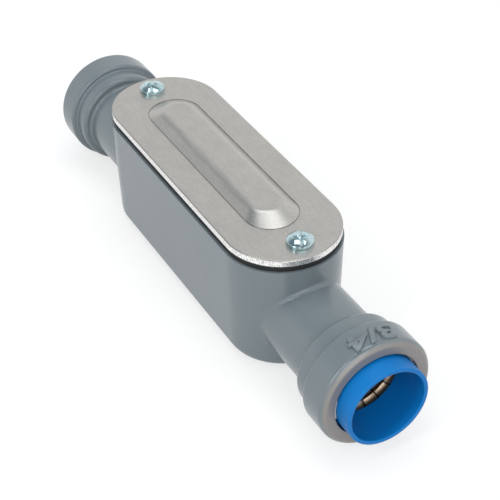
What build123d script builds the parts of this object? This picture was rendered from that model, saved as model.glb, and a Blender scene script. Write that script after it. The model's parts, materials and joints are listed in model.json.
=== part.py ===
"""Straight conduit body with a push-fit socket at each end and a screwed cover. Millimetres, +Z up."""

import os

from build123d import *

# Conduit that the body takes
conduit_radius = 26.67 / 2
conduit_bore_radius = 20.93 / 2

# Hub, measured outwards from the conduit
socket_clearance = 0.27
seal_pocket_depth = 3.15
grip_seat_width = 2.1
hub_wall = 2.1
shoulder_wall = 1.7
mid_shoulder_round = 1.6
bell_shoulder_round = 1.2
neck_corner_round = 0.5
lip_thickness = 2.0
lip_chamfer = 1.5
lip_round = 2.0
mouth_clearance = 0.72

# Hub, measured along the run from the inside of the box
throat_length = 4.4
socket_depth = 19.7
seal_pocket_length = 7.4
grip_pocket_length = 8.4

# Box of the housing
arc_offset = 43.1
rim_radius = 21.5
rim_above_axis = 24.5
back_below_axis = 18.95
box_draft = 1.65
box_wall = 2.5
box_floor = 2.5
back_round = 4.0
neck_fillet = 1.6
chamber_round = 1.5
throat_round = 1.0

# Cover, gasket and screws
cover_setback = 0.5
cover_thickness = 2.4
cover_edge_round = 0.5
gasket_thickness = 2.3
gasket_setback = 0.4
gasket_lap = 0.6
gasket_pad_width = 0.8
panel_end_margin = 7.1
panel_side_margin = 11.2
panel_end_ramp = 3.4
panel_side_ramp = 3.6
panel_height = 3.0
panel_crest_round = 4.5
panel_line_width = 0.4
panel_line_depth = 0.2
screw_end_margin = 8.8
screw_radius = 2.2
screw_grip = 7.5
screw_head_radius = 4.75
screw_head_height = 2.9
screw_crown_sag = 1.05
screw_head_round = 0.4
screw_hole_margin = 0.5
screw_slot_width = 1.2
screw_slot_depth = 1.1
recess_width = 1.3
recess_length = 5.0
recess_depth = 1.9
near_screw_turn = -22.0
far_screw_turn = -27.0
thread_clearance = 0.05
boss_radius = 4.6
boss_end_wall = 1.5
boss_hole_spare = 3.0

# Rings inside each hub
ring_clearance = 0.1
face_clearance = 0.05
seal_section = 3.2
sheet_thickness = 0.6
conduit_gap = 0.12
tooth_count = 18
tooth_drop = 1.4
tooth_root_inset = 0.155
tooth_slot_width = 1.0
spacer_gap = 0.3
spacer_bore_gap = 0.2
bond_length = 1.8
bond_gap = 0.26
bond_slot_count = 12
bond_slot_width = 0.8
support_wall = 1.65
support_rim_length = 2.05
support_split = 36.0
support_split_centre = 121.0
support_lug_span = 28.0
support_lug_length = 1.6
support_lug_gap = 0.13
collar_bore_clearance = 0.335
collar_wall = 1.5
collar_proud = 6.65
collar_travel = 2.2
nose_gap = 0.3
collar_flange_length = 1.5
collar_flange_gap = 0.3
collar_rest_gap = 0.15
collar_edge_round = 0.35

# Radii that follow
socket_radius = conduit_radius + socket_clearance
seal_pocket_radius = socket_radius + seal_pocket_depth
grip_pocket_radius = seal_pocket_radius + grip_seat_width
neck_radius = socket_radius + hub_wall
mid_radius = seal_pocket_radius + hub_wall
bell_radius = grip_pocket_radius + hub_wall
collar_bore_radius = conduit_radius + collar_bore_clearance
collar_radius = collar_bore_radius + collar_wall
mouth_radius = collar_radius + mouth_clearance
tooth_tip_radius = conduit_radius + conduit_gap
tooth_root_radius = seal_pocket_radius - tooth_root_inset
tooth_slope = tooth_drop / (tooth_root_radius - tooth_tip_radius)
cover_radius = rim_radius - cover_setback
chamber_radius = rim_radius - box_wall
panel_foot_radius = cover_radius - panel_side_margin
panel_top_radius = panel_foot_radius - panel_side_ramp
gasket_pad_radius = boss_radius + gasket_pad_width
screw_hole_radius = screw_radius + screw_hole_margin

# Places along the run that follow
chamber_end = arc_offset + chamber_radius
screw_offset = arc_offset + rim_radius - screw_end_margin
panel_arc_offset = arc_offset - panel_end_margin
panel_top_arc_offset = panel_arc_offset - panel_end_ramp
stop_distance = chamber_end + throat_length
seal_seat = stop_distance + socket_depth
grip_seat = seal_seat + seal_pocket_length
lip_inside = grip_seat + grip_pocket_length
mouth = lip_inside + lip_thickness
neck_end = seal_seat - shoulder_wall
mid_end = grip_seat - shoulder_wall
collar_front = mouth + collar_proud
teeth_at_bore = grip_seat + sheet_thickness - (tooth_root_radius - collar_bore_radius) * tooth_slope
collar_back = teeth_at_bore + nose_gap + collar_travel

# Rings that follow
seal_middle = seal_seat + face_clearance + seal_section / 2
seal_ring_radius = seal_pocket_radius - ring_clearance / 2 - seal_section / 2
bond_back = seal_middle + seal_section / 2 + face_clearance
spacer_back = bond_back + sheet_thickness
spacer_bore = conduit_radius + bond_gap + sheet_thickness + spacer_bore_gap
spacer_front = grip_seat - spacer_gap - tooth_root_radius * tooth_slope
support_back = grip_seat + sheet_thickness + face_clearance
support_front = lip_inside - face_clearance
support_stop = support_front - support_rim_length
support_bore = grip_pocket_radius - ring_clearance - support_wall
support_rim_radius = collar_radius + collar_flange_gap
support_lug_bore = collar_radius + support_lug_gap
support_lug_radius = mouth_radius - ring_clearance
support_lug_centre = support_split_centre - (support_split + support_lug_span) / 2
flange_front = support_stop - collar_rest_gap
flange_radius = support_bore - collar_flange_gap

# Heights that follow, from the surface that the hubs lie on
axis_height = bell_radius
rim_height = axis_height + rim_above_axis
box_depth = rim_above_axis + back_below_axis
cover_bottom = rim_height + gasket_thickness
cover_top = cover_bottom + cover_thickness
screw_length = cover_thickness + gasket_thickness + screw_grip
screw_crown_radius = (screw_head_radius**2 + screw_crown_sag**2) / (2 * screw_crown_sag)
screw_crown_centre = cover_top + screw_head_height - screw_crown_radius
boss_hole_depth = screw_grip + boss_hole_spare
boss_length = boss_hole_depth + boss_end_wall

run_plane = Plane(origin=(0, 0, axis_height), x_dir=(1, 0, 0), z_dir=(0, -1, 0))
run_axis = Axis((0, 0, axis_height), (1, 0, 0))
both_ends = (1, -1)


def cross_run(distance, first=(0, 1, 0)):
    """Plane across the run at a distance from the middle, with its own X along the first direction."""
    return Plane(origin=(distance, 0, axis_height), x_dir=first, z_dir=(1, 0, 0))


def hub_outside(end):
    """Outer form of one hub: neck, middle step, bell and the lip rolled in over the rings."""
    with BuildSketch(run_plane) as profile:
        with BuildLine():
            Polyline(
                (end * arc_offset, 0),
                (end * arc_offset, neck_radius),
                (end * neck_end, neck_radius),
                (end * neck_end, mid_radius),
                (end * mid_end, mid_radius),
                (end * mid_end, bell_radius),
                (end * (mouth - lip_chamfer), bell_radius),
                (end * mouth, bell_radius - lip_chamfer),
                (end * mouth, 0),
                close=True,
            )
        make_face()
        for distance, radius, size in (
            (neck_end, neck_radius, neck_corner_round),
            (neck_end, mid_radius, mid_shoulder_round),
            (mid_end, bell_radius, bell_shoulder_round),
            (mouth - lip_chamfer, bell_radius, lip_round),
            (mouth, bell_radius - lip_chamfer, lip_round),
        ):
            corner = profile.vertices().sort_by_distance((end * distance, radius, 0))[0]
            fillet(corner, radius=size)
    return profile


def hub_inside(end):
    """Hollow of one hub: throat, conduit stop, socket, seal pocket, grip pocket and mouth."""
    with BuildSketch(run_plane) as profile:
        with BuildLine():
            Polyline(
                (end * arc_offset, 0),
                (end * arc_offset, conduit_bore_radius),
                (end * stop_distance, conduit_bore_radius),
                (end * stop_distance, socket_radius),
                (end * seal_seat, socket_radius),
                (end * seal_seat, seal_pocket_radius),
                (end * grip_seat, seal_pocket_radius),
                (end * grip_seat, grip_pocket_radius),
                (end * lip_inside, grip_pocket_radius),
                (end * lip_inside, mouth_radius),
                (end * mouth, mouth_radius),
                (end * mouth, 0),
                close=True,
            )
        make_face()
    return profile


# Housing: one casting
with BuildPart() as housing:
    with BuildSketch(Plane.XY.offset(rim_height)):
        SlotCenterToCenter(2 * arc_offset, 2 * rim_radius)
    extrude(amount=-box_depth, taper=box_draft)
    fillet(housing.faces().sort_by(Axis.Z)[0].edges(), radius=back_round)
    for end in both_ends:
        add(hub_outside(end).sketch)
        revolve(axis=run_axis)
        fillet(housing.edges(Select.NEW), radius=neck_fillet)
    with BuildSketch(Plane.XY.offset(rim_height)):
        SlotCenterToCenter(2 * arc_offset, 2 * chamber_radius)
    extrude(amount=box_floor - box_depth, taper=box_draft, mode=Mode.SUBTRACT)
    fillet(housing.faces(Select.LAST).sort_by(Axis.Z)[0].edges(), radius=chamber_round)
    with BuildSketch(Plane.XY.offset(rim_height)):
        for end in both_ends:
            with Locations((end * screw_offset, 0)):
                Circle(boss_radius)
            with Locations((end * (screw_offset + chamber_end) / 2, 0)):
                Rectangle(chamber_end - screw_offset, 2 * boss_radius)
    extrude(amount=-boss_length)
    for end in both_ends:
        with Locations((end * screw_offset, 0, rim_height)):
            Hole(screw_radius + thread_clearance, depth=boss_hole_depth)
        add(hub_inside(end).sketch)
        revolve(axis=run_axis, mode=Mode.SUBTRACT)
        fillet(housing.edges(Select.NEW).filter_by(GeomType.BSPLINE), radius=throat_round)
housing.part.label = "housing"

# Cover plate: one pressing, its raised panel hollow below and a coined line round the panel's foot
with BuildPart() as cover_plate:
    with BuildSketch(Plane.XY.offset(cover_bottom)):
        SlotCenterToCenter(2 * arc_offset, 2 * cover_radius)
    extrude(amount=cover_thickness)
    fillet(cover_plate.faces().sort_by(Axis.Z)[-1].edges(), radius=cover_edge_round)
    for surface, mode in ((cover_top, Mode.ADD), (cover_bottom, Mode.SUBTRACT)):
        with BuildSketch(Plane.XY.offset(surface)):
            SlotCenterToCenter(2 * panel_arc_offset, 2 * panel_foot_radius)
        with BuildSketch(Plane.XY.offset(surface + panel_height)):
            SlotCenterToCenter(2 * panel_top_arc_offset, 2 * panel_top_radius)
        loft(mode=mode)
    crest = cover_plate.faces().sort_by(Axis.Z)[-1]
    fillet(crest.edges(), radius=panel_crest_round)
    with BuildSketch(Plane.XY.offset(cover_top)):
        SlotCenterToCenter(2 * panel_arc_offset, 2 * (panel_foot_radius + panel_line_width))
        SlotCenterToCenter(2 * panel_arc_offset, 2 * panel_foot_radius, mode=Mode.SUBTRACT)
    extrude(amount=-panel_line_depth, mode=Mode.SUBTRACT)
    with Locations(*[(end * screw_offset, 0, cover_top) for end in both_ends]):
        Hole(screw_hole_radius)
cover_plate.part.label = "cover_plate"

# Gasket: a frame that widens round the screws
with BuildPart() as cover_gasket:
    with BuildSketch(Plane.XY.offset(rim_height)):
        SlotCenterToCenter(2 * arc_offset, 2 * (cover_radius - gasket_setback))
        SlotCenterToCenter(2 * arc_offset, 2 * (chamber_radius - gasket_lap), mode=Mode.SUBTRACT)
        for end in both_ends:
            with Locations((end * screw_offset, 0)):
                Circle(gasket_pad_radius)
            with Locations((end * (screw_offset + chamber_end) / 2, 0)):
                Rectangle(chamber_end - screw_offset, 2 * gasket_pad_radius)
        with Locations(*[(end * screw_offset, 0) for end in both_ends]):
            Circle(screw_hole_radius, mode=Mode.SUBTRACT)
    extrude(amount=gasket_thickness)
cover_gasket.part.label = "cover_gasket"


def cover_screw(end):
    """Pan head screw with a plain shank, seated on the cover and left where tightening stopped it."""
    turn = near_screw_turn if end > 0 else far_screw_turn
    with BuildPart() as screw:
        with Locations((end * screw_offset, 0, cover_top)):
            Cylinder(screw_head_radius, screw_head_height, align=(Align.CENTER, Align.CENTER, Align.MIN))
        with Locations((end * screw_offset, 0, screw_crown_centre)):
            Sphere(screw_crown_radius, mode=Mode.INTERSECT)
        side = screw.faces().filter_by(GeomType.CYLINDER)[0]
        fillet(side.edges().filter_by(GeomType.CIRCLE).sort_by(Axis.Z)[-1], radius=screw_head_round)
        with Locations((end * screw_offset, 0, cover_top)):
            Cylinder(screw_radius, screw_length, align=(Align.CENTER, Align.CENTER, Align.MAX))
        with BuildSketch(Plane.XY.offset(cover_top + screw_head_height)):
            with Locations((end * screw_offset, 0)):
                Rectangle(2 * screw_head_radius, screw_slot_width, rotation=turn)
        extrude(amount=-screw_slot_depth, mode=Mode.SUBTRACT)
        with BuildSketch(Plane.XY.offset(cover_top + screw_head_height)):
            with Locations((end * screw_offset, 0)):
                Rectangle(recess_length, recess_width, rotation=turn)
                Rectangle(recess_width, recess_length, rotation=turn)
        extrude(amount=-recess_depth, mode=Mode.SUBTRACT)
    return screw


def ring_profile(end, points):
    """Closed profile of (distance, radius) points, on the plane through the run."""
    with BuildSketch(run_plane) as profile:
        with BuildLine():
            Polyline(*[(end * distance, radius) for distance, radius in points], close=True)
        make_face()
    return profile.sketch


def seal_ring(end):
    """Rubber ring in the seal pocket, drawn as it stands when a conduit is in place."""
    with BuildPart() as ring:
        with BuildSketch(run_plane):
            with Locations((end * seal_middle, seal_ring_radius)):
                Circle(seal_section / 2)
        revolve(axis=run_axis)
    return ring


def bond_ring(end):
    """Metal ring whose sleeve of short fingers touches the conduit."""
    inner = conduit_radius + bond_gap
    profile = ring_profile(
        end,
        (
            (bond_back, inner),
            (bond_back, seal_pocket_radius - ring_clearance),
            (bond_back + sheet_thickness, seal_pocket_radius - ring_clearance),
            (bond_back + sheet_thickness, inner + sheet_thickness),
            (bond_back + bond_length, inner + sheet_thickness),
            (bond_back + bond_length, inner),
        ),
    )
    with BuildPart() as ring:
        add(profile)
        revolve(axis=run_axis)
        with BuildSketch(cross_run(end * (bond_back + sheet_thickness))):
            with PolarLocations(inner, bond_slot_count):
                Rectangle(4 * sheet_thickness, bond_slot_width)
        extrude(amount=end * bond_length, mode=Mode.SUBTRACT)
    return ring


def spacer_ring(end):
    """Ring between the bond ring and the teeth, its front face sloped as the teeth are."""
    outer = seal_pocket_radius - ring_clearance
    profile = ring_profile(
        end,
        (
            (spacer_back, spacer_bore),
            (spacer_back, outer),
            (spacer_front + outer * tooth_slope, outer),
            (spacer_front + spacer_bore * tooth_slope, spacer_bore),
        ),
    )
    with BuildPart() as ring:
        add(profile)
        revolve(axis=run_axis)
    return ring


def grip_ring(end):
    """Spring steel ring: a flat rim on the grip seat, and slanted teeth that bite the conduit."""
    profile = ring_profile(
        end,
        (
            (grip_seat, tooth_root_radius),
            (grip_seat, grip_pocket_radius - ring_clearance),
            (grip_seat + sheet_thickness, grip_pocket_radius - ring_clearance),
            (grip_seat + sheet_thickness, tooth_root_radius),
            (grip_seat + sheet_thickness - tooth_drop, tooth_tip_radius),
            (grip_seat - tooth_drop, tooth_tip_radius),
        ),
    )
    slot_inner = tooth_tip_radius - tooth_slot_width
    slot_outer = tooth_root_radius - tooth_slot_width / 2
    with BuildPart() as ring:
        add(profile)
        revolve(axis=run_axis)
        with BuildSketch(cross_run(end * (grip_seat - 2 * tooth_drop))):
            with PolarLocations((slot_inner + slot_outer) / 2, tooth_count):
                SlotCenterToCenter(slot_outer - slot_inner, tooth_slot_width)
        extrude(amount=end * 4 * tooth_drop, mode=Mode.SUBTRACT)
    return ring


def wedge(middle, span):
    """Edges of a wedge that runs from the axis past every ring, its angles turned from straight up."""
    reach = 2 * bell_radius
    side_a = PolarLine((0, 0), reach, middle - span / 2)
    side_b = PolarLine((0, 0), reach, middle + span / 2)
    return [side_a, side_b, Line(side_a @ 1, side_b @ 1)]


def support_ring(end):
    """Split ring that keeps the grip ring and the collar's flange in, with a lug in the mouth by its split."""
    outer = grip_pocket_radius - ring_clearance
    profile = ring_profile(
        end,
        (
            (support_back, outer),
            (support_back, support_bore),
            (support_stop, support_bore),
            (support_stop, support_rim_radius),
            (support_front, support_rim_radius),
            (support_front, outer),
        ),
    )
    split_edges = wedge(end * support_split_centre, support_split)
    lug_edges = wedge(end * support_lug_centre, support_lug_span)
    with BuildPart() as ring:
        add(profile)
        revolve(axis=run_axis)
        with BuildSketch(cross_run(end * support_back, first=(0, 0, 1))):
            make_face(split_edges)
        extrude(amount=end * (support_front - support_back), mode=Mode.SUBTRACT)
        with BuildSketch(cross_run(end * support_stop, first=(0, 0, 1))):
            Circle(support_lug_radius)
            Circle(support_lug_bore, mode=Mode.SUBTRACT)
            make_face(lug_edges, mode=Mode.INTERSECT)
        extrude(amount=end * (support_rim_length + support_lug_length))
    return ring


def release_collar(end):
    """Sleeve that stands out of the mouth, with a flange behind the support ring and a nose for the teeth."""
    nose_rise = collar_wall * tooth_slope
    profile = ring_profile(
        end,
        (
            (collar_back, collar_bore_radius),
            (collar_back + nose_rise, collar_radius),
            (flange_front - collar_flange_length, collar_radius),
            (flange_front - collar_flange_length, flange_radius),
            (flange_front, flange_radius),
            (flange_front, collar_radius),
            (collar_front, collar_radius),
            (collar_front, collar_bore_radius),
        ),
    )
    with BuildPart() as ring:
        add(profile)
        revolve(axis=run_axis)
        rim = ring.faces().filter_by(Axis.X).sort_by(Axis.X)[-1 if end > 0 else 0]
        fillet(rim.edges(), radius=collar_edge_round)
    return ring


makers = {
    "cover_screw": cover_screw,
    "seal_ring": seal_ring,
    "bond_ring": bond_ring,
    "spacer_ring": spacer_ring,
    "grip_ring": grip_ring,
    "support_ring": support_ring,
    "release_collar": release_collar,
}

os.makedirs("parts", exist_ok=True)
for piece in (housing, cover_plate, cover_gasket):
    export_step(piece.part, f"parts/{piece.part.label}.step")
for side, end in (("near", 1), ("far", -1)):
    for name, make in makers.items():
        piece = make(end)
        piece.part.label = f"{side}_{name}"
        export_step(piece.part, f"parts/{piece.part.label}.step")
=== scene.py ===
"""Looks of a straight cast conduit body with push-fit sockets.

Its finishes, finer hubs, collars, grip rings and screws, a size mark, the light and the photo's camera.
"""

import json
from math import asin, atan2, cos, pi, radians, sin, tan

import bpy
from mathutils import Matrix, Vector


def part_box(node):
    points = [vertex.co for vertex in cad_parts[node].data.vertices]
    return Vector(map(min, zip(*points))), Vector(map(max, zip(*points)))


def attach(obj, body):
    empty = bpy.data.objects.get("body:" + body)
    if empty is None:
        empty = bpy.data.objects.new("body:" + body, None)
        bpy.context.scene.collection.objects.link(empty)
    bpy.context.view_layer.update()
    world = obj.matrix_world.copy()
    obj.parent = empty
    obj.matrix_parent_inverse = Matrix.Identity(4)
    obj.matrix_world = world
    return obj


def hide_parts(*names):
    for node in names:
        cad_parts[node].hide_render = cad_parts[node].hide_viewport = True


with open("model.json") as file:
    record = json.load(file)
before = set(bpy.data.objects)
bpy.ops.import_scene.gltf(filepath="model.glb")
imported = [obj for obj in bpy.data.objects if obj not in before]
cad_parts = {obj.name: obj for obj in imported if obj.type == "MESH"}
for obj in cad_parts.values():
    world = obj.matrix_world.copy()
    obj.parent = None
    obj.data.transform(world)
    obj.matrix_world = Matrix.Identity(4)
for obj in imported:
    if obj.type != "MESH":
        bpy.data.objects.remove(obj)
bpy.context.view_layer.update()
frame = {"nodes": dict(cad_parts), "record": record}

mm = 0.001

# Sockets of a mix node that mixes colours: its two colours and its result
tone_a, tone_b, tone_out = 6, 7, 2

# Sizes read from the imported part: the run's height, the conduit socket, the mouth and the screw seat
socket = frame["record"]["mounts"][0]
run_height = socket["pos_m"][2]
socket_radius = socket["dims"]["r_mm"] * mm
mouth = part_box("housing")[1].x
bell_radius = run_height
plate_thickness = 2.4 * mm
plate_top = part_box("cover_plate")[0].z + plate_thickness

# Hub sections, outwards from the socket and back from the mouth
hub_wall = 2.1 * mm
seal_pocket_radius = 16.755 * mm
grip_pocket_radius = bell_radius - hub_wall
neck_radius = socket_radius + hub_wall
mid_radius = seal_pocket_radius + hub_wall
mouth_radius = 15.89 * mm
lip_inside = mouth - 2.0 * mm
grip_seat = lip_inside - 8.4 * mm
seal_seat = grip_seat - 7.4 * mm
shoulder_wall = 1.7 * mm
lip_chamfer = 1.5 * mm
hub_joint = 76 * mm

# Rounds of the hub, from the neck to the mouth
neck_corner_round = 1.3 * mm
mid_edge_round = 1.6 * mm
mid_corner_round = 0.8 * mm
bell_edge_round = 1.2 * mm
lip_round = 2.0 * mm
mouth_edge_round = 0.2 * mm

# Clearances between the rings, and how near two vertices are that are merged
face_clearance = 0.05 * mm
ring_clearance = 0.1 * mm
merge_distance = 0.002 * mm
lathe_merge_distance = 0.005 * mm

# Steps of turned forms and of rounds
lathe_steps = 192
screw_steps = 96
crown_steps = 12
thread_steps = 32
round_steps = 8
edge_segments = 2

# Angles between faces up to which each kind of piece is shaded smooth
housing_smooth = radians(32)
collar_smooth = radians(40)
ring_smooth = radians(40)
screw_smooth = radians(35)
mark_smooth = radians(50)

# Release collar, and the support ring that keeps it in
collar_bore_radius = 13.67 * mm
collar_radius = 15.17 * mm
collar_flange_length = 1.5 * mm
collar_nose_rise = 0.7 * mm
collar_edge_round = 0.1 * mm
collar_rim_round = 0.4 * mm
collar_rest_gap = 0.15 * mm
support_ring_length = 2.05 * mm

# Teeth of the grip ring
sheet_thickness = 0.6 * mm
tooth_count = 18
tooth_gap = 0.4 * mm
tooth_tip_radius = 13.455 * mm
tooth_root_radius = 16.6 * mm
tooth_overlap = 0.3 * mm
tooth_drop = 1.4 * mm
tooth_edge = 0.07 * mm

# Raised size mark on the near bell
mark_text = "3/4"
mark_height = 6.6 * mm
mark_span = radians(44)
mark_rise = 0.8 * mm
mark_round = 0.33 * mm
mark_round_steps = 3
mark_curve_steps = 8
mark_sunk = 0.25 * mm
mark_from_mouth = 5.0 * mm
letter_size = 10 * mm

# Cover screws, number 10 with 24 threads to the inch
head_radius = 4.75 * mm
head_height = 2.9 * mm
crown_sag = 1.5 * mm
crown_round = 0.4 * mm
head_edge = 0.07 * mm
head_edge_angle = radians(40)
thread_crest = 2.2 * mm
thread_root = 1.72 * mm
thread_pitch = 1.058 * mm
thread_start = 0.8 * mm
thread_overlap = 0.15 * mm
point_length = 0.8 * mm
point_taper = 0.6
screw_turns = {"near": radians(-22), "far": radians(-27)}

# The slot and the cross in a screw head
slot_length = 2.2 * head_radius
slot_width = 1.4 * mm
slot_depth = 1.7 * mm
slot_taper = 0.96
wing_length = 5.2 * mm
wing_width = 1.35 * mm
wing_depth = 2.4 * mm
wing_taper = 0.45
cutter_spare = 0.2 * mm

# Floor, in metres, and how far it glows up to white where it is seen
floor_size = 6
floor_lift = 0.66

# Soft lamps, each with its direction, its width and height in metres, its power in watts and its colour
lamp_distance = 1.0
lamps = (
    ("overhead_softbox", radians(232), radians(81), 0.8, 0.4, 2.6, "#FFFFFF"),
    ("left_softbox", radians(14), radians(36), 0.1, 0.9, 2.2, "#FFFFFF"),
    ("edge_softbox", radians(120), radians(41), 0.2, 0.14, 0.16, "#F2F7FF"),
    ("front_softbox", radians(72), radians(32), 0.8, 0.6, 2.7, "#FFFFFF"),
    ("mouth_softbox", radians(82), radians(1), 0.5, 0.2, 0.8, "#FFFFFF"),
)

# Camera that took the photograph
view_azimuth = radians(61.49)
view_elevation = radians(38.25)
view_roll = radians(-1.17)
view_distance = 497.3 * mm
view_aim = Vector((9.99, 5.93, 13.41)) * mm
view_lens = 96.03
view_sensor = 36.0
view_clip_start = 10 * mm


def clear_selection():
    """Leaves nothing selected, so that an operator acts only on what is picked next."""
    bpy.ops.object.select_all(action="DESELECT")


def pick(piece):
    """Selects one piece and makes it the active one."""
    clear_selection()
    piece.select_set(True)
    bpy.context.view_layer.objects.active = piece


def apply_modifiers(piece):
    """Turns each modifier of a piece into mesh."""
    pick(piece)
    for modifier in list(piece.modifiers):
        bpy.ops.object.modifier_apply(modifier=modifier.name)


def clean(distance):
    """Merges doubled vertices of the active piece and turns its faces outwards."""
    bpy.ops.object.mode_set(mode="EDIT")
    bpy.ops.mesh.select_all(action="SELECT")
    bpy.ops.mesh.remove_doubles(threshold=distance)
    bpy.ops.mesh.normals_make_consistent(inside=False)
    bpy.ops.object.mode_set(mode="OBJECT")


def settle(piece, name, angle):
    """Names a finished piece, puts its place into its mesh and smooths it up to an angle between faces."""
    pick(piece)
    piece.name = name
    bpy.ops.object.transform_apply(location=True, rotation=True, scale=True)
    bpy.ops.object.shade_smooth_by_angle(angle=angle)


def linear(code):
    """Linear colour of an sRGB hex value."""
    parts = [int(code[i:i + 2], 16) / 255 for i in (1, 3, 5)]
    return (*(p / 12.92 if p <= 0.04045 else ((p + 0.055) / 1.055) ** 2.4 for p in parts), 1.0)


def add(tree, kind, inputs=None, **settings):
    """Adds a node to a tree, with its settings, and its inputs as values or as another node's outputs."""
    new = tree.nodes.new(kind)
    for name, value in settings.items():
        setattr(new, name, value)
    for name, value in (inputs or {}).items():
        if isinstance(value, bpy.types.NodeSocket):
            tree.links.new(value, new.inputs[name])
        else:
            new.inputs[name].default_value = value
    return new


def blank(name):
    """A new material with its tree, which holds only the object's coordinates."""
    material = bpy.data.materials.new(name)
    material.use_nodes = True
    tree = material.node_tree
    tree.nodes.clear()
    place = add(tree, "ShaderNodeTexCoord").outputs["Object"]
    return material, tree, place


def finish_with(tree, shader):
    """Links a shader to the material's output."""
    add(tree, "ShaderNodeOutputMaterial", {"Surface": shader.outputs[0]})


def satin_enamel():
    """Grey enamel with aluminium flake, baked on a casting: satin, and rubbed duller and more metallic on
    the rolled lips, where a warm reflection is painted into its colour.
    """
    peel_size = 0.7 * mm
    cloud_size = 25 * mm
    rubbed_start, rubbed_full = mouth - 2.2 * mm, mouth - 1.4 * mm
    # The lips' warm tint is a painted reflection. Their higher metallic and roughness are the rub.
    lip_reflection_start, lip_reflection_full = mouth - 1.2 * mm, mouth - 0.2 * mm
    flake_metal, rubbed_metal = 0.12, 0.28
    satin, dull = 0.23, 0.4
    material, tree, place = blank("satin_grey_enamel")
    clouds = add(tree, "ShaderNodeTexNoise", {"Vector": place, "Scale": 1 / cloud_size, "Detail": 1.0})
    peel = add(tree, "ShaderNodeTexNoise", {"Vector": place, "Scale": 1 / peel_size, "Detail": 1.5})
    along = add(tree, "ShaderNodeSeparateXYZ", {0: place}).outputs["X"]
    reach = add(tree, "ShaderNodeMath", {0: along}, operation="ABSOLUTE")
    painted_reflection_and_dull = add(
        tree, "ShaderNodeMapRange",
        {"Value": reach.outputs[0], "From Min": lip_reflection_start, "From Max": lip_reflection_full},
    )
    enamel_own_tone = add(
        tree, "ShaderNodeMix",
        {"Factor": clouds.outputs["Fac"], tone_a: linear("#79848A"), tone_b: linear("#818C90")},
        data_type="RGBA",
    )
    # Painted warm reflection on the lip faces, laid over the enamel's own tone
    tone = add(
        tree, "ShaderNodeMix",
        {"Factor": painted_reflection_and_dull.outputs["Result"], tone_a: enamel_own_tone.outputs[tone_out], tone_b: linear("#97928E")},
        data_type="RGBA",
    )
    bare = add(
        tree, "ShaderNodeMapRange",
        {
            "Value": reach.outputs[0], "From Min": rubbed_start, "From Max": rubbed_full,
            "To Min": flake_metal, "To Max": rubbed_metal,
        },
    )
    dulled = add(
        tree, "ShaderNodeMapRange",
        {"Value": painted_reflection_and_dull.outputs["Result"], "From Min": 0.5, "To Min": satin, "To Max": dull},
    )
    bump = add(
        tree, "ShaderNodeBump", {"Height": peel.outputs["Fac"], "Strength": 0.2, "Distance": 0.02 * mm}
    )
    shader = add(
        tree, "ShaderNodeBsdfPrincipled",
        {
            "Base Color": tone.outputs[tone_out],
            "Metallic": bare.outputs["Result"],
            "Roughness": dulled.outputs["Result"],
            "Normal": bump.outputs["Normal"],
        },
    )
    finish_with(tree, shader)
    return material


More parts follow.
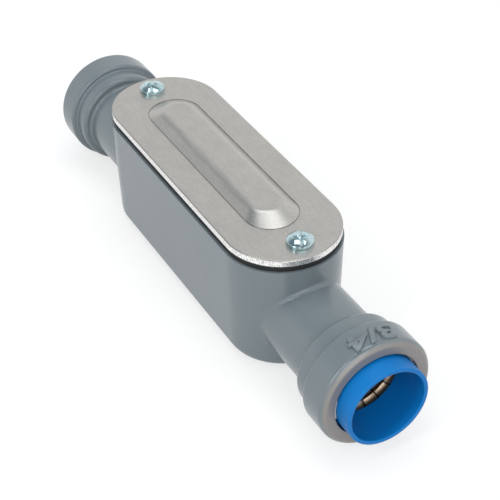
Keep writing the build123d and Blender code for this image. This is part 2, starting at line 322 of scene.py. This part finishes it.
def mill_aluminium():
    """Aluminium sheet as rolled, with a fine grain: painted shade in its coined line, and a bright sheared
    edge.
    """
    # The real grain and the real marks of the shear are under 0.1 mm wide. They are drawn wider, to show.
    grain_width = 0.3 * mm
    grain_length = 9 * mm
    shear_width = 0.3 * mm
    shear_length = 2.5 * shear_width
    cloud_size = 6 * mm
    fleck_size = 0.6 * mm
    # Painted shade: a darker tone just below the sheet's top face, in its coined line
    crease_shade_start, crease_shade_full = plate_top - 0.02 * mm, plate_top - 0.06 * mm
    edge_start, edge_full = plate_top - 0.24 * mm, plate_top - 0.34 * mm
    material, tree, place = blank("mill_aluminium")
    stretched = add(
        tree, "ShaderNodeMapping",
        {"Vector": place, "Scale": (1 / grain_length, 1 / grain_width, 1 / grain_width)},
    )
    grain = add(
        tree, "ShaderNodeTexNoise", {"Vector": stretched.outputs["Vector"], "Scale": 1.0, "Detail": 3.0}
    )
    clouds = add(tree, "ShaderNodeTexNoise", {"Vector": place, "Scale": 1 / cloud_size, "Detail": 4.0})
    flecks = add(tree, "ShaderNodeTexNoise", {"Vector": place, "Scale": 1 / fleck_size, "Detail": 3.0})
    upright = add(
        tree, "ShaderNodeMapping",
        {"Vector": place, "Scale": (1 / shear_width, 1 / shear_width, 1 / shear_length)},
    )
    shear = add(
        tree, "ShaderNodeTexNoise", {"Vector": upright.outputs["Vector"], "Scale": 1.0, "Detail": 2.0}
    )
    height = add(tree, "ShaderNodeSeparateXYZ", {0: place}).outputs["Z"]
    crease_shade = add(
        tree, "ShaderNodeMapRange", {"Value": height, "From Min": crease_shade_start, "From Max": crease_shade_full}
    )
    on_edge = add(
        tree, "ShaderNodeMapRange", {"Value": height, "From Min": edge_start, "From Max": edge_full}
    )
    sheet = add(
        tree, "ShaderNodeMix",
        {"Factor": clouds.outputs["Fac"], tone_a: linear("#B8B8B6"), tone_b: linear("#CEC9C2")},
        data_type="RGBA",
    )
    marks = add(tree, "ShaderNodeMath", {0: flecks.outputs["Fac"], 1: grain.outputs["Fac"]}, operation="ADD")
    flecked = add(
        tree, "ShaderNodeMapRange", {"Value": marks.outputs[0], "From Min": 0.8, "From Max": 1.2}
    )
    mottled = add(
        tree, "ShaderNodeMix",
        {"Factor": flecked.outputs["Result"], tone_a: linear("#EFEFEF"), tone_b: linear("#FFFFFF")},
        data_type="RGBA",
    )
    speckled = add(
        tree, "ShaderNodeMix",
        {"Factor": 1.0, tone_a: sheet.outputs[tone_out], tone_b: mottled.outputs[tone_out]},
        data_type="RGBA", blend_type="MULTIPLY",
    )
    # The coined line darkened with painted shade
    crease_shaded = add(
        tree, "ShaderNodeMix",
        {"Factor": crease_shade.outputs["Result"], tone_a: speckled.outputs[tone_out], tone_b: linear("#A9A49E")},
        data_type="RGBA",
    )
    ticks = add(
        tree, "ShaderNodeMapRange", {"Value": shear.outputs["Fac"], "From Min": 0.3, "From Max": 0.6}
    )
    sheared = add(
        tree, "ShaderNodeMix",
        {"Factor": ticks.outputs["Result"], tone_a: linear("#A6A4A1"), tone_b: linear("#FFFFFF")},
        data_type="RGBA",
    )
    tone = add(
        tree, "ShaderNodeMix",
        {
            "Factor": on_edge.outputs["Result"],
            tone_a: crease_shaded.outputs[tone_out], tone_b: sheared.outputs[tone_out],
        },
        data_type="RGBA",
    )
    gloss = add(
        tree, "ShaderNodeMapRange",
        {"Value": grain.outputs["Fac"], "From Min": 0.3, "From Max": 0.7, "To Min": 0.33, "To Max": 0.41},
    )
    bump = add(
        tree, "ShaderNodeBump", {"Height": grain.outputs["Fac"], "Strength": 0.35, "Distance": 0.01 * mm}
    )
    shader = add(
        tree, "ShaderNodeBsdfPrincipled",
        {
            "Base Color": tone.outputs[tone_out],
            "Metallic": 1.0,
            "Roughness": gloss.outputs["Result"],
            "Normal": bump.outputs["Normal"],
        },
    )
    finish_with(tree, shader)
    return material


def sheet_rubber():
    """Black gasket rubber, cut from sheet: matt, with a faint grain."""
    grain_size = 0.4 * mm  # really under 0.1 mm, and drawn coarser, to show
    material, tree, place = blank("sheet_rubber")
    grain = add(tree, "ShaderNodeTexNoise", {"Vector": place, "Scale": 1 / grain_size, "Detail": 2.0})
    tone = add(
        tree, "ShaderNodeMix",
        {"Factor": grain.outputs["Fac"], tone_a: linear("#0F1011"), tone_b: linear("#1C1D1F")},
        data_type="RGBA",
    )
    bump = add(
        tree, "ShaderNodeBump", {"Height": grain.outputs["Fac"], "Strength": 0.4, "Distance": 0.03 * mm}
    )
    shader = add(
        tree, "ShaderNodeBsdfPrincipled",
        {"Base Color": tone.outputs[tone_out], "Roughness": 0.62, "Normal": bump.outputs["Normal"]},
    )
    finish_with(tree, shader)
    return material


def tinted_metal(name, tint_size, low, high, roughness):
    """Bare metal whose tint wanders a little between two colours."""
    material, tree, place = blank(name)
    tint = add(tree, "ShaderNodeTexNoise", {"Vector": place, "Scale": 1 / tint_size, "Detail": 1.0})
    tone = add(
        tree, "ShaderNodeMix",
        {"Factor": tint.outputs["Fac"], tone_a: linear(low), tone_b: linear(high)},
        data_type="RGBA",
    )
    shader = add(
        tree, "ShaderNodeBsdfPrincipled",
        {"Base Color": tone.outputs[tone_out], "Metallic": 1.0, "Roughness": roughness},
    )
    finish_with(tree, shader)
    return material


def blue_zinc():
    """Bright zinc plate with a blue passivate on the screws: mirror-like, and unevenly blue."""
    return tinted_metal("blue_passivated_zinc", 1.6 * mm, "#86B4BC", "#DCE6E8", 0.1)


def spring_stainless():
    """Hardened spring steel of the rings: dull, and tinted warm and light, which is a painted warm
    reflection on the teeth.
    """
    return tinted_metal("spring_stainless", 3 * mm, "#C39F80", "#F0DCC4", 0.48)


def moulded(name, low, high, roughness):
    """Moulded plastic or rubber in one colour: even, with a slight sheen and the texture of its mould."""
    cloud_size = 6 * mm
    texture_size = 0.35 * mm  # really under 0.1 mm, and drawn coarser, to show
    material, tree, place = blank(name)
    clouds = add(tree, "ShaderNodeTexNoise", {"Vector": place, "Scale": 1 / cloud_size, "Detail": 2.0})
    texture = add(tree, "ShaderNodeTexNoise", {"Vector": place, "Scale": 1 / texture_size, "Detail": 1.0})
    tone = add(
        tree, "ShaderNodeMix",
        {"Factor": clouds.outputs["Fac"], tone_a: linear(low), tone_b: linear(high)},
        data_type="RGBA",
    )
    bump = add(
        tree, "ShaderNodeBump", {"Height": texture.outputs["Fac"], "Strength": 0.2, "Distance": 0.01 * mm}
    )
    shader = add(
        tree, "ShaderNodeBsdfPrincipled",
        {
            "Base Color": tone.outputs[tone_out],
            "Roughness": roughness,
            "Specular IOR Level": 0.25,
            "Normal": bump.outputs["Normal"],
        },
    )
    finish_with(tree, shader)
    return material


def rounded(points):
    """Corners from (x, z, radius) points: each one that has a radius becomes points along its arc."""
    done = []
    for i, (x, z, radius) in enumerate(points):
        corner = Vector((x, z))
        if radius == 0:
            done.append((x, z))
            continue
        before = (Vector(points[i - 1][:2]) - corner).normalized()
        after = (Vector(points[(i + 1) % len(points)][:2]) - corner).normalized()
        half = before.angle(after) / 2
        centre = corner + (before + after).normalized() * radius / sin(half)
        first = corner + before * radius / tan(half) - centre
        sweep = (corner + after * radius / tan(half) - centre).angle_signed(first)
        for step in range(round_steps + 1):
            spoke = first.copy()
            spoke.rotate(Matrix.Rotation(sweep * step / round_steps, 2))
            done.append(tuple(centre + spoke))
    return done


def draw_profile(points):
    """A chain of edges through (x, z) points on the XZ plane, started from a plane merged to one point."""
    bpy.ops.mesh.primitive_plane_add(size=mm, location=(0, 0, 0))
    piece = bpy.context.object
    bpy.ops.object.mode_set(mode="EDIT")
    bpy.ops.mesh.merge(type="CENTER")
    bpy.ops.transform.translate(value=(points[0][0], 0, points[0][1]))
    for (x0, z0), (x1, z1) in zip(points, points[1:]):
        bpy.ops.mesh.extrude_region_move(TRANSFORM_OT_translate={"value": (x1 - x0, 0, z1 - z0)})
    bpy.ops.mesh.select_all(action="SELECT")
    return piece


def turn_on_lathe(points, steps, centre=(0, 0, 0), axis=(0, 0, 1)):
    """A closed solid of revolution from a profile that is closed or starts and ends on the axis."""
    piece = draw_profile(points)
    bpy.ops.mesh.spin(steps=steps, angle=2 * pi, center=centre, axis=axis)
    clean(lathe_merge_distance)
    return piece


def turn_round_run(end, corners):
    """A ring round the conduit run from (distance, radius, corner round) points of its closed section."""
    section = rounded([(end * distance, run_height + radius, size) for distance, radius, size in corners])
    return turn_on_lathe(section + section[:1], lathe_steps, (0, 0, run_height), (1, 0, 0))


def even_normals(piece):
    """Keeps flat faces flat in the light where they run into a round."""
    weights = piece.modifiers.new("even_normals", "WEIGHTED_NORMAL")
    weights.keep_sharp = True
    apply_modifiers(piece)


def join(*pieces):
    """Joins pieces into the first one."""
    clear_selection()
    for piece in pieces:
        piece.select_set(True)
    bpy.context.view_layer.objects.active = pieces[0]
    bpy.ops.object.join()
    return pieces[0]


def hub(end):
    """One hub of the casting past the joint on its neck: two shoulders, the bell and its rolled lip."""
    neck_end = seal_seat - shoulder_wall
    mid_end = grip_seat - shoulder_wall
    return turn_round_run(end, (
        (hub_joint, socket_radius, 0),
        (hub_joint, neck_radius, 0),
        (neck_end, neck_radius, neck_corner_round),
        (neck_end, mid_radius, mid_edge_round),
        (mid_end, mid_radius, mid_corner_round),
        (mid_end, bell_radius, bell_edge_round),
        (mouth - lip_chamfer, bell_radius, lip_round),
        (mouth, bell_radius - lip_chamfer, lip_round),
        (mouth, mouth_radius, mouth_edge_round),
        (lip_inside, mouth_radius, 0),
        (lip_inside, grip_pocket_radius, 0),
        (grip_seat, grip_pocket_radius, 0),
        (grip_seat, seal_pocket_radius, 0),
        (seal_seat, seal_pocket_radius, 0),
        (seal_seat, socket_radius, 0),
    ))


def enamelled_housing():
    """The casting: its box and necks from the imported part, with each hub turned again in finer steps."""
    node = frame["nodes"]["housing"]
    body = bpy.data.objects.new("enamelled_housing", node.data.copy())
    bpy.context.scene.collection.objects.link(body)
    pick(body)
    bpy.ops.object.mode_set(mode="EDIT")
    bpy.ops.mesh.select_all(action="SELECT")
    bpy.ops.mesh.remove_doubles(threshold=merge_distance)
    for end in (1, -1):
        bpy.ops.mesh.select_all(action="SELECT")
        bpy.ops.mesh.bisect(
            plane_co=(end * hub_joint, 0, 0), plane_no=(end, 0, 0), clear_outer=True, use_fill=False
        )
    bpy.ops.object.mode_set(mode="OBJECT")
    housing = join(body, hub(1), hub(-1))
    bpy.ops.mesh.customdata_custom_splitnormals_clear()
    settle(housing, "enamelled_housing", housing_smooth)
    even_normals(housing)
    paint(housing, enamel)
    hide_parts("housing")
    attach(housing, "body")


def release_collar(side, end):
    """Moulded sleeve with a flange that keeps it in the hub, a sloped nose and a rounded front rim."""
    node = f"{side}_release_collar"
    low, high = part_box(node)
    back = low.x if end > 0 else -high.x
    front = high.x if end > 0 else -low.x
    flange_front = lip_inside - support_ring_length - collar_rest_gap - face_clearance
    flange_back = flange_front - collar_flange_length
    flange_radius = (high.z - low.z) / 2
    collar = turn_round_run(end, (
        (back, collar_bore_radius, collar_edge_round),
        (back + collar_nose_rise, collar_radius, collar_edge_round),
        (flange_back, collar_radius, 0),
        (flange_back, flange_radius, collar_edge_round),
        (flange_front, flange_radius, collar_edge_round),
        (flange_front, collar_radius, 0),
        (front, collar_radius, collar_rim_round),
        (front, collar_bore_radius, collar_rim_round),
    ))
    settle(collar, f"{side}_moulded_collar", collar_smooth)
    even_normals(collar)
    paint(collar, blue)
    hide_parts(node)
    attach(collar, f"{side}_collar")


def narrow_foot(block, across, along, foot):
    """Narrows the lowest face of a block about its own middle, at the height of that face."""
    bpy.ops.object.mode_set(mode="EDIT")
    bpy.ops.mesh.select_all(action="DESELECT")
    bpy.ops.object.mode_set(mode="OBJECT")
    for polygon in block.data.polygons:
        polygon.select = polygon.normal.z < -0.9
    bpy.ops.object.mode_set(mode="EDIT")
    bpy.ops.transform.resize(value=(across, along, 1), center_override=(0, 0, foot))


def grip_tooth(end):
    """One flat tooth at the top of the ring, bent inwards from the rim, narrower at its tip."""
    root = Vector((end * (grip_seat + sheet_thickness / 2), 0, tooth_root_radius + tooth_overlap))
    tip = Vector((end * (grip_seat + sheet_thickness / 2 - tooth_drop), 0, tooth_tip_radius))
    reach = root - tip
    root_width = 2 * pi * tooth_root_radius / tooth_count - tooth_gap
    tip_width = 2 * pi * tooth_tip_radius / tooth_count - tooth_gap
    bpy.ops.mesh.primitive_cube_add(size=1, location=(0, 0, 0))
    tooth = bpy.context.object
    tooth.scale = (sheet_thickness, root_width, reach.length)
    bpy.ops.object.transform_apply(location=False, rotation=False, scale=True)
    narrow_foot(tooth, 1, tip_width / root_width, -reach.length / 2)
    bpy.ops.mesh.select_all(action="SELECT")
    bpy.ops.mesh.bevel(offset=tooth_edge, segments=edge_segments)
    bpy.ops.object.mode_set(mode="OBJECT")
    tooth.rotation_euler = (0, atan2(reach.x, reach.z), 0)
    tooth.location = (root + tip) / 2 + Vector((0, 0, run_height))
    bpy.ops.object.transform_apply(location=True, rotation=True, scale=True)
    return tooth


def grip_ring(side, end):
    """Spring steel ring of flat slanted teeth on a flat rim, pressed from sheet."""
    node = f"{side}_grip_ring"
    first = grip_tooth(end)
    rim = turn_round_run(end, (
        (grip_seat, tooth_root_radius, 0),
        (grip_seat, grip_pocket_radius - ring_clearance, 0),
        (grip_seat + sheet_thickness, grip_pocket_radius - ring_clearance, 0),
        (grip_seat + sheet_thickness, tooth_root_radius, 0),
    ))
    teeth = [first]
    for number in range(1, tooth_count):
        tooth = bpy.data.objects.new("tooth", first.data.copy())
        bpy.context.scene.collection.objects.link(tooth)
        tooth.data.transform(
            Matrix.Translation((0, 0, run_height))
            @ Matrix.Rotation(2 * pi * number / tooth_count, 4, "X")
            @ Matrix.Translation((0, 0, -run_height))
        )
        teeth.append(tooth)
    ring = join(rim, *teeth)
    settle(ring, f"{side}_toothed_ring", ring_smooth)
    paint(ring, spring)
    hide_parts(node)
    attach(ring, "body")


def arc_points(centre, radius, start, end, steps):
    """Points along an arc on the XZ plane, with both ends."""
    turn = [start + (end - start) * i / steps for i in range(steps + 1)]
    return [(centre[0] + radius * cos(t), centre[1] + radius * sin(t)) for t in turn]


def tapered_block(length, width, depth, taper, turn):
    """A cutter for a screw head that starts a little above it and narrows downwards."""
    height = depth + cutter_spare
    top = head_height + cutter_spare
    bpy.ops.mesh.primitive_cube_add(size=1, location=(0, 0, top - height / 2), rotation=(0, 0, turn))
    block = bpy.context.object
    block.scale = (length, width, height)
    narrow_foot(block, taper, taper, top - height)
    bpy.ops.object.mode_set(mode="OBJECT")
    return block


def cut(piece, cutter):
    """Cuts one closed piece out of another, and removes the cutter."""
    modifier = piece.modifiers.new("recess", "BOOLEAN")
    modifier.operation = "DIFFERENCE"
    modifier.solver = "EXACT"
    modifier.object = cutter
    apply_modifiers(piece)
    bpy.data.objects.remove(cutter)


def thread_ridge(top, length):
    """The helical ridge of a thread, closed at both ends, to lie round a plain core."""
    turns = int(length / thread_pitch)
    half = thread_pitch / 2
    piece = draw_profile((
        (thread_root - thread_overlap, top - turns * thread_pitch - half),
        (thread_crest, top - turns * thread_pitch),
        (thread_root - thread_overlap, top - turns * thread_pitch + half),
    ))
    bpy.ops.mesh.edge_face_add()
    bpy.ops.object.mode_set(mode="OBJECT")
    winding = piece.modifiers.new("winding", "SCREW")
    winding.screw_offset = thread_pitch
    winding.iterations = turns
    winding.steps = winding.render_steps = thread_steps
    apply_modifiers(piece)
    clean(merge_distance)
    return piece


def cover_screw(side):
    """Pan head screw with a slotted cross recess and a real thread, in place of the plain one."""
    node = f"{side}_cover_screw"
    low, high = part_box(node)
    shank = plate_top - low.z
    crown_radius = (head_radius ** 2 + crown_sag ** 2) / (2 * crown_sag)
    crown_reach = asin(head_radius / crown_radius)
    crown_centre = (0, head_height - crown_radius)
    crown = arc_points(crown_centre, crown_radius, pi / 2, pi / 2 - crown_reach, crown_steps)
    profile = rounded(
        [(x, z, 0) for x, z in crown[:-1]]
        + [
            (*crown[-1], crown_round), (head_radius, 0, 0), (thread_root, 0, 0),
            (thread_root, point_length - shank, 0), (point_taper * thread_root, -shank, 0), (0, -shank, 0),
        ]
    )
    screw = turn_on_lathe(profile, screw_steps)
    turn = screw_turns[side]
    cut(screw, tapered_block(slot_length, slot_width, slot_depth, slot_taper, turn))
    for quarter in (0, pi / 2):
        cut(screw, tapered_block(wing_length, wing_width, wing_depth, wing_taper, turn + quarter))
    edges = screw.modifiers.new("edges", "BEVEL")
    edges.width = head_edge
    edges.segments = edge_segments
    edges.limit_method = "ANGLE"
    edges.angle_limit = head_edge_angle
    apply_modifiers(screw)
    join(screw, thread_ridge(-thread_start, shank - thread_start - point_length))
    screw.location = ((low.x + high.x) / 2, (low.y + high.y) / 2, plate_top)
    settle(screw, f"{side}_threaded_screw", screw_smooth)
    paint(screw, zinc)
    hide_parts(node)
    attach(screw, "body")


def size_mark():
    """Raised trade size on top of the near bell, its tops towards the mouth, rounded as a casting is."""
    bpy.ops.object.text_add(location=(0, 0, 0))
    mark = bpy.context.object
    mark.data.body = mark_text
    mark.data.align_x = "CENTER"
    mark.data.align_y = "CENTER"
    mark.data.size = letter_size
    mark.data.extrude = mark_rise / 2
    mark.data.bevel_depth = mark_round
    mark.data.bevel_resolution = mark_round_steps
    mark.data.resolution_u = mark_curve_steps
    bpy.ops.object.convert(target="MESH")
    mark = bpy.context.object
    corners = [v.co for v in mark.data.vertices]
    low = Vector([min(c[i] for c in corners) for i in range(3)])
    high = Vector([max(c[i] for c in corners) for i in range(3)])
    middle = (low + high) / 2
    stretch = mark_span * bell_radius / (high.x - low.x)
    rise = mark_height / (high.y - low.y)
    centre = mouth - mark_from_mouth
    for vertex in mark.data.vertices:
        u, v, w = vertex.co - middle
        angle = u * stretch / bell_radius
        reach = bell_radius + w + (high.z - low.z) / 2 - mark_sunk
        vertex.co = (centre + v * rise, -reach * sin(angle), run_height + reach * cos(angle))
    clean(merge_distance)
    settle(mark, "near_size_mark", mark_smooth)
    paint(mark, enamel)
    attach(mark, "body")


def paint(piece, material):
    """Gives a new piece its one material."""
    piece.data.materials.clear()
    piece.data.materials.append(material)


def dress(material, *names):
    """Gives CAD nodes a material."""
    for name in names:
        node = frame["nodes"][name]
        if not node.material_slots:
            node.data.materials.append(material)
        for slot in node.material_slots:
            slot.material = material


def ray_kinds(tree):
    """One for rays straight from the camera, and one for rays off a mirror or through glass."""
    path = add(tree, "ShaderNodeLightPath").outputs
    bent = add(
        tree, "ShaderNodeMath", {0: path["Is Glossy Ray"], 1: path["Is Transmission Ray"]}, operation="ADD"
    )
    return path["Is Camera Ray"], bent.outputs[0]


def stage_floor():
    """Plain pale floor, white to the camera and in mirrors, with the body's soft shadow on it."""
    bpy.ops.mesh.primitive_plane_add(size=floor_size, location=(0, 0, 0))
    floor = bpy.context.object
    floor.name = "floor"
    material, tree, _ = blank("pale_floor")
    direct, bent = ray_kinds(tree)
    seen = add(tree, "ShaderNodeMath", {0: direct, 1: bent}, operation="ADD", use_clamp=True)
    lift = add(tree, "ShaderNodeMath", {0: seen.outputs[0], 1: floor_lift}, operation="MULTIPLY")
    shader = add(
        tree, "ShaderNodeBsdfPrincipled",
        {
            "Base Color": linear("#ADADAD"),
            "Roughness": 0.9,
            "Specular IOR Level": 0.0,
            "Emission Color": (1, 1, 1, 1),
            "Emission Strength": lift.outputs[0],
        },
    )
    finish_with(tree, shader)
    floor.data.materials.append(material)


def studio_world():
    """Pale surroundings, white where seen: in mirrors with a grey ceiling and a dark spot at the camera."""
    ceiling_tilt = (0, -0.3, 1)
    ceiling_start, ceiling_full = 0.45, 0.8
    to_camera = (0.69, -0.375, 0.62)
    spot_start, spot_full = 0.9, 0.97
    world = bpy.data.worlds.new("studio")
    bpy.context.scene.world = world
    world.use_nodes = True
    tree = world.node_tree
    tree.nodes.clear()
    place = add(tree, "ShaderNodeTexCoord").outputs["Generated"]
    height = add(tree, "ShaderNodeVectorMath", {0: place, 1: ceiling_tilt}, operation="DOT_PRODUCT")
    overhead = add(
        tree, "ShaderNodeMapRange",
        {"Value": height.outputs["Value"], "From Min": ceiling_start, "From Max": ceiling_full},
    )
    walls = add(
        tree, "ShaderNodeMix",
        {"Factor": overhead.outputs["Result"], tone_a: linear("#FFFFFF"), tone_b: linear("#8A949B")},
        data_type="RGBA",
    )
    towards = add(tree, "ShaderNodeVectorMath", {0: place, 1: to_camera}, operation="DOT_PRODUCT")
    spot = add(
        tree, "ShaderNodeMapRange",
        {"Value": towards.outputs["Value"], "From Min": spot_start, "From Max": spot_full},
    )
    mirrored = add(
        tree, "ShaderNodeMix",
        {"Factor": spot.outputs["Result"], tone_a: walls.outputs[tone_out], tone_b: linear("#2C3034")},
        data_type="RGBA",
    )
    direct, bent = ray_kinds(tree)
    plain = add(
        tree, "ShaderNodeMix",
        {"Factor": direct, tone_a: linear("#B8BABC"), tone_b: linear("#FFFFFF")},
        data_type="RGBA",
    )
    tone = add(
        tree, "ShaderNodeMix",
        {"Factor": bent, tone_a: plain.outputs[tone_out], tone_b: mirrored.outputs[tone_out]},
        data_type="RGBA",
    )
    background = add(tree, "ShaderNodeBackground", {"Color": tone.outputs[tone_out], "Strength": 1.0})
    add(tree, "ShaderNodeOutputWorld", {"Surface": background.outputs[0]})


def softbox(name, azimuth, elevation, width, height, power, tone):
    """A soft lamp that faces the body, placed by its direction as the camera is."""
    aim = Vector((0, 0, run_height))
    turn = Matrix.Rotation(azimuth, 3, "Z") @ Matrix.Rotation(pi / 2 - elevation, 3, "X")
    bpy.ops.object.light_add(
        type="AREA", location=aim + lamp_distance * turn.col[2], rotation=turn.to_euler()
    )
    lamp = bpy.context.object
    lamp.name = name
    lamp.data.shape = "RECTANGLE"
    lamp.data.size = width
    lamp.data.size_y = height
    lamp.data.energy = power
    lamp.data.color = linear(tone)[:3]


def photo_camera():
    """The camera at the photograph's angle, worked out from the edges of the body in it."""
    turn = (
        Matrix.Rotation(view_azimuth, 3, "Z")
        @ Matrix.Rotation(pi / 2 - view_elevation, 3, "X")
        @ Matrix.Rotation(view_roll, 3, "Z")
    )
    bpy.ops.object.camera_add(location=view_aim + view_distance * turn.col[2], rotation=turn.to_euler())
    camera = bpy.context.object
    camera.data.lens = view_lens
    camera.data.sensor_width = view_sensor
    camera.data.clip_start = view_clip_start
    bpy.context.scene.camera = camera


enamel = satin_enamel()
zinc = blue_zinc()
spring = spring_stainless()
blue = moulded("blue_acetal", "#0A7BCA", "#0A80D0", 0.4)
ends = {"near": 1, "far": -1}
dress(mill_aluminium(), "cover_plate")
dress(sheet_rubber(), "cover_gasket")
dress(spring, *[f"{side}_bond_ring" for side in ends])
dress(moulded("seal_rubber", "#151515", "#1C1C1C", 0.45), *[f"{side}_seal_ring" for side in ends])
dress(moulded("black_acetal", "#1B1B1C", "#232324", 0.4), *[f"{side}_spacer_ring" for side in ends])
dress(moulded("ivory_acetal", "#D9D3C6", "#E2DDD2", 0.4), *[f"{side}_support_ring" for side in ends])
enamelled_housing()
for side, end in ends.items():
    cover_screw(side)
    grip_ring(side, end)
    release_collar(side, end)
size_mark()

stage_floor()
studio_world()
for lamp in lamps:
    softbox(*lamp)
photo_camera()

bpy.context.scene.view_settings.view_transform = "Standard"
